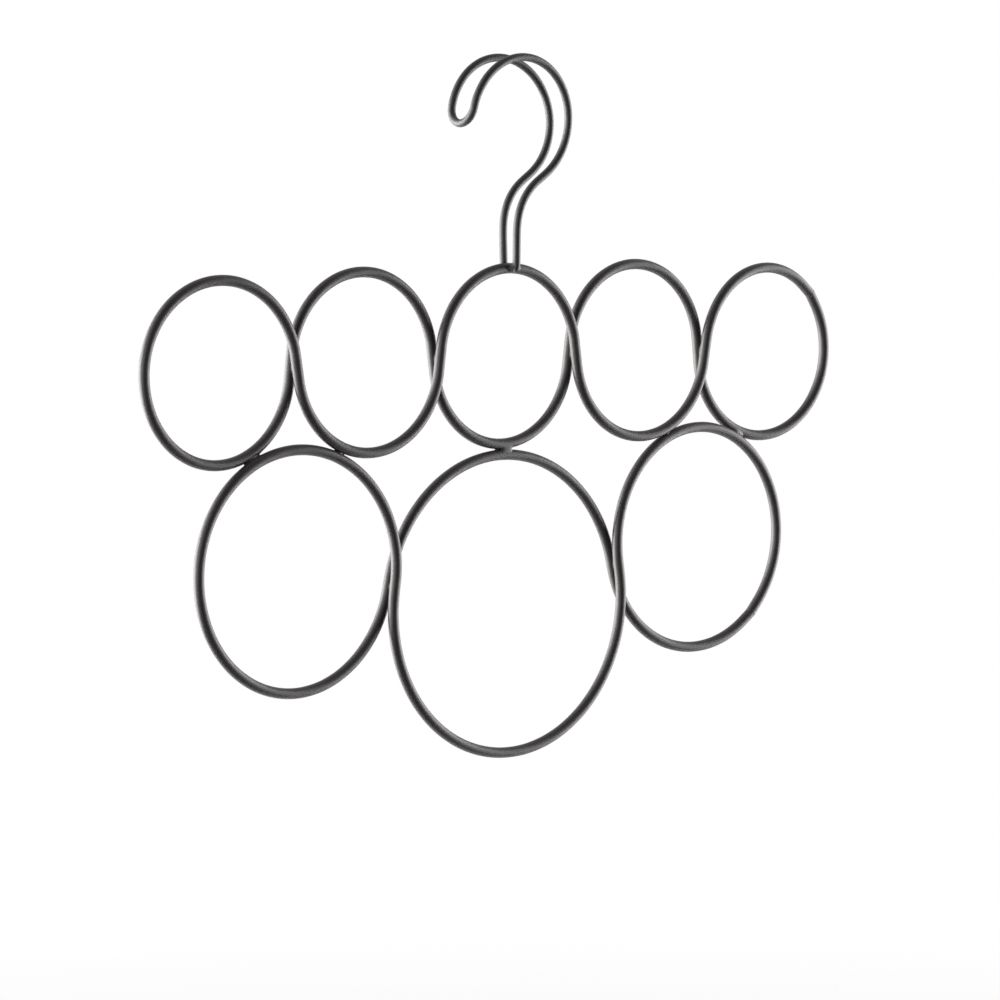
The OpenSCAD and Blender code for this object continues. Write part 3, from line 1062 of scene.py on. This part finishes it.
@dataclass(frozen=True)
class Row:
    """A row's loops, and the wire that makes them, crossing itself between loops."""

    centres: tuple[Array, ...]
    radii: tuple[float, ...]
    run_depth: float

    @property
    def last(self) -> int:
        """Returns the number of the last loop."""
        return len(self.centres) - 1

    def heading_on(self, i: int) -> float:
        """Returns the angle from one loop's centre to the next one's."""
        return heading(self.centres[i], self.centres[i + 1])

    def slant(self, i: int) -> float:
        """Returns the slant of a run where a loop and the next one cross."""
        apart = float(np.linalg.norm(self.centres[i + 1] - self.centres[i]))
        return math.degrees(math.acos((self.radii[i] + self.radii[i + 1]) / apart))

    @staticmethod
    def turn_side(i: int, lead: Lead) -> int:
        """Returns 1 where a run passes over its loop and -1 where it passes under."""
        return lead.value if i % 2 == 0 else -lead.value

    def middle_arc(self, i: int, lead: Lead) -> Arc:
        """Returns a run's bend round a loop that has a neighbour on both sides."""
        side = self.turn_side(i, lead)
        arrival = self.heading_on(i - 1) + 180 - side * self.slant(i - 1)
        departure = self.heading_on(i) + side * self.slant(i)
        begin, end = (departure, arrival) if side == 1 else (arrival, departure)
        centre = in_rows(self.centres[i], -lead.value * self.run_depth)
        out, along = (in_rows(ray(angle), 0) for angle in (begin, begin + 90))
        return Arc(centre, out, along, self.radii[i], (end - begin) % 360)

    def end_arc(self, i: int, lead: Lead) -> Arc:
        """Returns half of an end loop, which leaves its run's plane as it goes."""
        near = 1 if i == 0 else self.last - 1
        centre, radius = self.centres[i], self.radii[i]
        toward = ray(heading(centre, self.centres[near]))
        aside = self.turn_side(i, lead) * np.sign(toward[0]) * np.array([-toward[1], toward[0]])
        lean = math.radians(self.slant(min(i, near)))
        start = centre + radius * swung(toward, aside, lean)
        start = in_rows(start, -lead.value * self.run_depth)
        direction = in_rows(swung(aside, -toward, lean), 0)
        far = in_rows(centre - math.hypot(radius, self.run_depth) * toward, 0)
        chord = far - start
        along = float(chord @ direction)
        inward = chord - along * direction
        reach = float(np.linalg.norm(inward))
        bend = float(chord @ chord) / (2 * reach)
        turn = math.degrees(math.atan2(along, bend - reach)) % 360
        return Arc(start + bend * inward / reach, -inward / reach, direction, bend, turn)

    def link(self, i: int, lead: Lead) -> Rod:
        """Returns the straight stretch between a loop and the next one."""
        lean = ray(self.heading_on(i) + self.turn_side(i, lead) * self.slant(i))
        depth = -lead.value * self.run_depth
        start = in_rows(self.centres[i] + self.radii[i] * lean, depth)
        return Rod(start, in_rows(self.centres[i + 1] - self.radii[i + 1] * lean, depth))

    def depth_at(self, i: int, lead: Lead, place: Array) -> float:
        """Returns how deep a loop's wire lies in the direction of a place."""
        if 0 < i < self.last:
            return -lead.value * self.run_depth
        near = 1 if i == 0 else self.last - 1
        turn = angle_between(self.centres[near] - self.centres[i], place - self.centres[i])
        return -lead.value * self.run_depth * (1 + math.cos(math.radians(turn))) / 2


def backward(stretches: Sequence[Arc | Rod]) -> list[Arc | Rod]:
    """Returns stretches that run the other way, in the other order."""
    turned: list[Arc | Rod] = []
    for stretch in reversed(stretches):
        if isinstance(stretch, Rod):
            turned.append(Rod(stretch.end, stretch.start))
            continue
        end = stretch.finish()
        turned.append(
            replace(
                stretch,
                out=-end.bend,
                along=-end.direction,
                straight_start=stretch.straight_finish,
                straight_finish=stretch.straight_start,
            )
        )
    return turned


@dataclass
class Seam:
    """The butt weld that closes a row's wire: a low, dressed bead with a nib left on it."""

    turn: float
    lead: Lead
    width: float = 0.8
    rise: float = 0.05
    sink: float = 0.03
    bell: float = 0.42
    nib: float = 0.16
    nib_place: tuple[float, float] = (-0.1, 0.25)
    nib_size: tuple[float, float] = (0.36, 0.42)
    worn: float = 0.15
    swelling: tuple[Wave, ...] = ((0.35, 2, 0.7), (0.3, 5, 2.0))
    wandering: tuple[Wave, ...] = ((0.12, 3, 0.4),)
    straight_before: float = 5.6
    straight_after: float = 5.2
    handover: float = 0.6
    overlap: float = 0.55
    step: float = 0.07
    sides: int = 64

    def angles(self, arc: Arc) -> tuple[float, float]:
        """Returns the angles along the arc at which the seam starts and ends."""
        half = math.degrees(self.width / 2 / arc.radius)
        return arc.turn - self.turn - half, arc.turn - self.turn + half

    def _line(self, arc: Arc) -> tuple[Line, Array]:
        """Works out the centre line under the bead.

        Args:
            arc: The half loop that the seam is on.

        Returns:
            The line, which leaves the circle as the straight wire ends beside it do, and
            the distance of each point from its middle.
        """
        begin, end = self.angles(arc)
        spare = math.degrees(self.overlap / arc.radius)
        line = arc.part(begin - spare, end + spare).line(self.step, None)
        run = line.lengths - line.lengths[-1] / 2
        straight = np.where(run < 0, self.straight_before, self.straight_after)
        reach = straight - np.abs(np.abs(run) - self.width / 2)
        share = np.clip(run / (self.handover * self.width) + 0.5, 0, 1)
        inside = (1 - share) * self.straight_before**2 + share * self.straight_after**2
        off = np.where(np.abs(run) > self.width / 2, reach**2, inside)
        line.points = line.points + (off / (2 * arc.radius))[:, None] * line.normals
        return line, run

    def piece(self, name: str, arc: Arc, stock: WireStock, origin: Array) -> bpy.types.Object:
        """Builds the bead round the wire.

        Args:
            name: The piece's name.
            arc: The half loop that the seam is on.
            stock: The row's wire.
            origin: Shift from the rows' own place to the seat.

        Returns:
            The piece: the wire's radius plus the rise times a bell curve along the wire,
            which swells and shrinks around it, plus a small pointed nib on the outside.
        """
        line, run = self._line(arc)
        around = round_the_clock(self.sides)
        s, a = run[:, None], around[None, :]
        swell, wander = 1 + waves(a, *self.swelling), waves(a, *self.wandering)
        bead = (self.rise * swell + self.sink) * np.exp(-(((s - wander) / self.bell) ** 2))
        off_nib = np.abs((a - self.nib_place[1] + math.pi) % (2 * math.pi) - math.pi)
        off_nib = off_nib * stock.diameter / 2 / self.nib_size[1]
        along_nib = (s - self.nib_place[0]) / self.nib_size[0]
        bead = bead - self.sink + self.nib * np.exp(-(off_nib**2) - along_nib**2)
        radius = (stock.diameter / 2 + bead)[..., None]
        rings = line.points[:, None] + radius * line.circle(around) + origin
        poles = np.stack([line.points[0], line.points[-1]]) + origin
        worn = self.worn * np.clip(bead / (self.rise + self.nib), 0, 1)
        return ring_piece(name, rings, poles, run - run[0], {"edge": worn})


@dataclass
class Rows:
    """Both rows of loops: five above and three below, of thicker wire."""

    stock: WireStock = WireStock(diameter=4.8, sides=48, step=0.62)
    crossing_gap: float = 0.2
    row_gap: float = 0.2
    upper_radius: float = 39.6
    upper_slant: float = 7.9
    left_radius: float = 53.2
    middle_radius: float = 67.3
    right_radius: float = 51.6
    lower_slant: float = 2.5
    upper_seam: Seam = field(default_factory=lambda: Seam(44.0, Lead.FRONT))
    lower_seam: Seam = field(default_factory=lambda: Seam(58.0, Lead.REAR))
    crossing_bead: Bead = Bead(ahead=4.6, behind=4.6, side=1.5)
    row_beads: tuple[tuple[int, int, Bead], ...] = (
        (1, 6, Bead(5.6, 6.6, 1.7, 1.5, 1.4, swell=0.2)),
        (2, 6, Bead(4.2, 4.6, 1.5, 1.3, 1.3)),
        (3, 7, Bead(4.3, 4.6, 2.28, 3.4, 3.4, shift=1.9, swell=0.1, tail=7.6, lean=0.35)),
        (4, 8, Bead(4.2, 4.2, 1.5, 1.3, 1.3)),
        (5, 8, Bead(5.2, 5.0, 2.2, 2.8, 2.0, shift=2.2, swell=0.1)),
    )
    upper: Row = field(init=False)
    lower: Row = field(init=False)
    depth: float = field(init=False)
    contact: float = field(init=False)
    origin: Array = field(init=False)

    def __post_init__(self) -> None:
        """Sets every loop against its neighbours, so that each weld closes its gap."""
        self.depth = (self.stock.diameter + self.crossing_gap) / 2
        self.contact = self.stock.diameter + self.row_gap
        pitch = 2 * self.upper_radius / math.cos(math.radians(self.upper_slant))
        seventh = np.array([0.0, -self.upper_radius - self.middle_radius - self.contact])
        ends = []
        for side, radius in ((Side.LEFT, self.left_radius), (Side.RIGHT, self.right_radius)):
            near = np.array([side.value * pitch, 0.0])
            low = self._lower_end(near, seventh, radius, side)
            ends.append((near, low, self._upper_end(near, low, seventh, radius, pitch, side)))
        (second, sixth, first), (fourth, eighth, fifth) = ends
        upper_radii = (self.upper_radius,) * 5
        lower_radii = (self.left_radius, self.middle_radius, self.right_radius)
        self.upper = Row((first, second, np.zeros(2), fourth, fifth), upper_radii, self.depth)
        self.lower = Row((sixth, seventh, eighth), lower_radii, self.depth)

    def _end_depth(self, turn: float) -> float:
        """Returns the depth left to an end loop's wire at a turn from its crossing."""
        return self.depth * (1 + math.cos(math.radians(turn))) / 2

    def _sideways(self, step: float) -> float:
        """Returns how far apart two touching wires look when one is a step behind."""
        return math.sqrt(self.contact**2 - step**2)

    def _lower_end(self, upper: Array, middle: Array, radius: float, side: Side) -> Array:
        """Returns the centre of a lower end loop: it touches one loop and crosses another."""
        reach = (radius + self.middle_radius) / math.cos(math.radians(self.lower_slant))
        both = self.upper_radius + radius
        rough = meeting(upper, both + self.contact, middle, reach, side)
        step = self.depth - self._end_depth(angle_between(middle - rough, upper - rough))
        return meeting(upper, both + self._sideways(step), middle, reach, side)

    def _upper_end(
        self, near: Array, below: Array, middle: Array, radius: float, pitch: float, side: Side
    ) -> Array:
        """Returns the centre of an upper end loop: it crosses one loop and touches another."""
        both = self.upper_radius + radius
        rough = meeting(near, pitch, below, both + self.contact, side)
        own = self._end_depth(angle_between(near - rough, below - rough))
        other = self._end_depth(angle_between(middle - below, rough - below))
        return meeting(near, pitch, below, both + self._sideways(own + other), side)

    def build(self, seat: Array) -> None:
        """Draws both rows' wires, and lays every weld on them.

        Args:
            seat: Where the hook rests on its rail, from the middle upper loop's centre.
        """
        self.origin = self.depth * ACROSS - seat
        self._draw(self.upper, "upper", self.upper_seam)
        self._draw(self.lower, "lower", self.lower_seam)
        for row, first in ((self.upper, 1), (self.lower, 6)):
            for i in range(row.last):
                self._crossing(row, i).lay_on(f"crossing_weld_{first + i}_{first + i + 1}")
        for high, low, bead in self.row_beads:
            self._touch(high - 1, low - 6, bead).lay_on(f"row_weld_{high}_{low}")

    def _draw(self, row: Row, name: str, seam: Seam) -> None:
        """Draws one row's wire as its front run and its rear run, and their seam.

        Args:
            row: The row.
            name: What its pieces' names start with.
            seam: The weld that closes it, on the last loop.
        """
        arc = row.end_arc(row.last, seam.lead)
        start, end = seam.angles(arc)
        before = arc.part(0, start, straight_finish=seam.straight_before)
        after = backward([arc.part(end, arc.turn, straight_start=seam.straight_after)])
        for lead in Lead:
            stretches: list[Arc | Rod] = backward([row.end_arc(0, lead)])
            stretches.append(row.link(0, lead))
            for i in range(1, row.last):
                stretches += [self._forward(row, i, lead), row.link(i, lead)]
            if lead is seam.lead:
                stretches.append(before)
            else:
                stretches.append(row.end_arc(row.last, lead))
                stretches += after
            line = joined(stretches, self.stock.step)
            line.points = line.points + self.origin
            label = f"{name}_{lead.name.lower()}_run"
            marks = {"rub": np.zeros(len(line.points))}
            wire = self.stock.drawn(label + "_wire", line, End.BUTTED, End.BUTTED, marks)
            place_piece(wire, label, ROW_COAT)
        bead = seam.piece(f"{name}_seam_bead", arc, self.stock, self.origin)
        place_piece(bead, f"{name}_seam", SEAM_COAT)

    @staticmethod
    def _forward(row: Row, i: int, lead: Lead) -> Arc:
        """Returns a middle loop's bend, followed from the left to the right."""
        arc = row.middle_arc(i, lead)
        return backward([arc])[0] if row.turn_side(i, lead) == 1 else arc

    def _crossing(self, row: Row, i: int) -> Fillet:
        """Returns the weld where the two runs cross between a loop and the next."""
        share = row.radii[i] / (row.radii[i] + row.radii[i + 1])
        place = row.centres[i] + share * (row.centres[i + 1] - row.centres[i])
        rods = [row.link(i, lead) for lead in (Lead.FRONT, Lead.REAR)]
        front, rear = (unit(rod.end - rod.start) for rod in rods)
        return Fillet(
            place=in_rows(place, 0) + self.origin,
            normal=ACROSS,
            lay=in_rows(ray(row.heading_on(i) + 90), 0),
            near=Strand(self.stock.diameter / 2, front),
            far=Strand(self.stock.diameter / 2, rear),
            gap=self.crossing_gap,
            bead=self.crossing_bead,
            phase=1.3 * i + row.radii[0],
        )

    def _touch(self, i: int, j: int, bead: Bead) -> Fillet:
        """Works out the weld where an upper loop and a lower loop touch.

        Args:
            i: The upper loop, counted from 0.
            j: The lower loop, counted from 0.
            bead: How the weld metal lies.

        Returns:
            The weld, on the line between the two wires' centres.
        """
        upper, lower = self.upper.centres[i], self.lower.centres[j]
        toward = ray(heading(lower, upper))
        under = Lead(-Row.turn_side(i, Lead.FRONT))
        over = Lead(Row.turn_side(j, Lead.FRONT))
        high = in_rows(upper - self.upper.radii[i] * toward, self.upper.depth_at(i, under, lower))
        low = in_rows(lower + self.lower.radii[j] * toward, self.lower.depth_at(j, over, upper))
        along = in_rows(np.array([toward[1], -toward[0]]), 0)
        return Fillet(
            place=(high + low) / 2 + self.origin,
            normal=unit(high - low),
            lay=along,
            near=Strand(self.stock.diameter / 2, along, -1 / self.lower.radii[j]),
            far=Strand(self.stock.diameter / 2, along, -1 / self.upper.radii[i]),
            gap=float(np.linalg.norm(high - low)) - self.stock.diameter,
            bead=bead,
            phase=0.9 * i + 0.4,
        )


# The studio


def aimed(
    target: Array, distance: float, azimuth: float, elevation: float, roll: float = 0.0
) -> Matrix:
    """Works out how a camera or lamp stands that faces a point.

    Args:
        target: The point, in metres.
        distance: How far away it stands.
        azimuth: The direction that it stands in, in degrees: 0 is in front of the hanger.
        elevation: How high it stands, in degrees.
        roll: How far it is turned about its own axis, in degrees.

    Returns:
        Its matrix, with the columns right, up, back and place.
    """
    a, e = math.radians(azimuth), math.radians(elevation)
    back = np.array([math.sin(a) * math.cos(e), -math.cos(a) * math.cos(e), math.sin(e)])
    level = np.array([math.cos(a), math.sin(a), 0.0])
    above = np.cross(back, level)
    turn = math.radians(roll)
    matrix = np.eye(4)
    axes = (swung(level, above, turn), swung(above, -level, turn), back)
    matrix[:3] = np.stack([*axes, target + distance * back], 1)
    return Matrix(matrix.tolist())


def hung(name: str, data: Any, stand: Matrix) -> bpy.types.Object:
    """Returns a new object of the scene that holds a camera or lamp."""
    holder = bpy.data.objects.new(name, data)
    holder.matrix_world = stand
    bpy.context.scene.collection.objects.link(holder)
    return holder


@dataclass(frozen=True)
class SoftBox:
    """A big diffused lamp, placed by its direction from the hanger."""

    name: str
    azimuth: float
    elevation: float
    distance: float
    width: float
    height: float
    level: float

    def hang(self, target: Array) -> None:
        """Hangs the lamp, aimed at the hanger, with 4 W a square metre for each level.

        Args:
            target: The point that it faces, in metres.
        """
        lamp = bpy.data.lights.new(self.name, "AREA")
        lamp.shape = "RECTANGLE"
        lamp.size, lamp.size_y = self.width, self.height
        lamp.energy = 4 * self.width * self.height * self.level
        stand = aimed(target, self.distance, self.azimuth, self.elevation)
        hung(self.name, lamp, stand).visible_camera = False


@dataclass
class Studio:
    """A plain white studio: pale floor, white surroundings, soft lamps and a long lens."""

    target: tuple[float, float, float] = (-0.0050, 0.0025, -0.19685)
    azimuth: float = -40.181
    elevation: float = 4.706
    roll: float = -0.164
    distance: float = 2.0496
    lens: float = 163.81
    film: float = 36.0
    sight: float = 50.0
    floor_height: float = -1.25
    table_shift: float = 2.36
    table_radius: float = 2.44
    table_sides: int = 96
    table_shade: float = 0.16
    table_fade: tuple[float, float] = (0.05, 0.8)
    room_dark: float = 0.02
    room_white: float = 0.8
    room_turn: tuple[float, float] = (0.62, 0.9)
    mirrored: tuple[float, float] = (0.7, 4.0)
    paper: tuple[Colour, Colour] = ((0.72, 0.72, 0.73, 1.0), (0.76, 0.76, 0.76, 1.0))
    paper_waves: float = 3.0
    boxes: tuple[SoftBox, ...] = (
        SoftBox("left_box", -130.0, -3.0, 2.0, 1.8, 2.0, 10.9),
        SoftBox("near_left_box", -75.0, 5.0, 2.2, 0.9, 1.6, 3.5),
        SoftBox("back_left_box", -168.0, -3.0, 2.0, 1.1, 2.0, 4.0),
        SoftBox("upper_left_box", -130.0, 42.0, 2.2, 1.4, 1.2, 2.0),
        SoftBox("right_box", 65.0, -3.0, 2.0, 1.6, 2.0, 4.7),
        SoftBox("back_right_box", 85.0, -3.0, 2.0, 1.1, 2.0, 3.0),
        SoftBox("front_box", -40.0, 4.0, 3.0, 0.9, 0.9, 1.0),
    )

    def build(self) -> None:
        """Sets up the camera, the lamps, the surroundings and the floor."""
        target = np.array(self.target)
        self._camera(target)
        for box in self.boxes:
            box.hang(target)
        self._surroundings()
        self._floor()
        bpy.context.scene.view_settings.view_transform = "Standard"

    def _camera(self, target: Array) -> None:
        """Places the camera where the photograph was taken from."""
        camera = bpy.data.cameras.new("camera")
        camera.lens, camera.sensor_width, camera.clip_end = self.lens, self.film, self.sight
        stand = aimed(target, self.distance, self.azimuth, self.elevation, self.roll)
        bpy.context.scene.camera = hung("camera", camera, stand)

    @property
    def _backward(self) -> Array:
        """Returns the level direction away from the camera."""
        a = math.radians(self.azimuth)
        return np.array([-math.sin(a), math.cos(a)])

    def _surroundings(self) -> None:
        """Lights the room: white behind the hanger, and dark behind the camera.

        The camera sees plain white, and so do reflections of what lies behind the hanger.
        Other rays see a level that falls from near white there to nearly nothing behind
        the camera.
        """
        world = bpy.data.worlds.new("studio")
        bpy.context.scene.world = world
        world.use_nodes = True
        nodes = Nodes(world.node_tree)
        way = nodes.add("ShaderNodeTexCoord", output="Generated")
        facing = (*(-self._backward), 0.0)
        vectors = {0: way, 1: facing}
        front = nodes.add("ShaderNodeVectorMath", vectors, "Value", operation="DOT_PRODUCT")
        turn, fall = self.room_turn
        level = self.room_dark + self.room_white * (turn - fall * front).clipped()
        seen = nodes.add("ShaderNodeBackground", {"Color": WHITE, "Strength": 1.0})
        unseen = nodes.add("ShaderNodeBackground", {"Color": WHITE, "Strength": level})
        path = nodes.add("ShaderNodeLightPath", output="Is Camera Ray")
        through, glossy = (
            Value(nodes, path.socket.node.outputs[kind])
            for kind in ("Is Transmission Ray", "Is Glossy Ray")
        )
        start, steepness = self.mirrored
        behind = (steepness * (-start - front)).clipped()
        direct = (path + through + glossy * behind).clipped()
        mixed = nodes.add("ShaderNodeMixShader", {0: direct, 1: unseen, 2: seen})
        nodes.add("ShaderNodeOutputWorld", {"Surface": mixed})

    def _floor(self) -> None:
        """Lays a round pale table under and behind the hanger.

        Its middle lies behind the hanger, away from the camera, so that the dark room in
        front shows in the lower side of the wires. To the camera its rim fades to white.
        """
        middle = self._backward * self.table_shift
        angle = round_the_clock(self.table_sides)
        rim = np.stack([np.cos(angle), np.sin(angle)], -1) * self.table_radius + middle
        points = np.insert(rim, 2, self.floor_height, axis=1)
        mesh = bpy.data.meshes.new("floor")
        mesh.from_pydata(points.tolist(), [], [list(range(len(points)))])
        floor = bpy.data.objects.new("floor", mesh)
        material = bpy.data.materials.new("floor_paper")
        material.use_nodes = True
        nodes = Nodes(material.node_tree)
        place = nodes.add("ShaderNodeTexCoord", output="Object")
        mottle = nodes.noise(place, self.paper_waves)
        paper = nodes.blend((0.5 + mottle).clipped(), *self.paper)
        matte = nodes.add("ShaderNodeBsdfDiffuse", {"Color": paper})
        white = nodes.add("ShaderNodeEmission", {"Color": WHITE, "Strength": 1.0})
        path = nodes.add("ShaderNodeLightPath", output="Is Camera Ray")
        off = (*(-middle), -self.floor_height)
        inward = nodes.add("ShaderNodeVectorMath", {0: place, 1: off}, operation="ADD")
        away = nodes.add("ShaderNodeVectorMath", {0: inward}, "Value", operation="LENGTH")
        start, rate = self.table_fade
        lit = 1.0 - self.table_shade * ((self.table_radius - start - away) * rate).clipped()
        mixed = nodes.add("ShaderNodeMixShader", {0: path * lit, 1: matte, 2: white})
        nodes.add("ShaderNodeOutputMaterial", {"Surface": mixed})
        mesh.materials.append(material)
        bpy.context.scene.collection.objects.link(floor)


def main() -> None:
    """Builds the studio, the hook and the rows, in that order."""
    logging.basicConfig(level=logging.INFO, format="%(name)s: %(message)s")
    Studio().build()
    hook = Hook()
    rows = Rows()
    hook.build()
    rows.build(hook.seat)


if __name__ == "__main__":
    main()
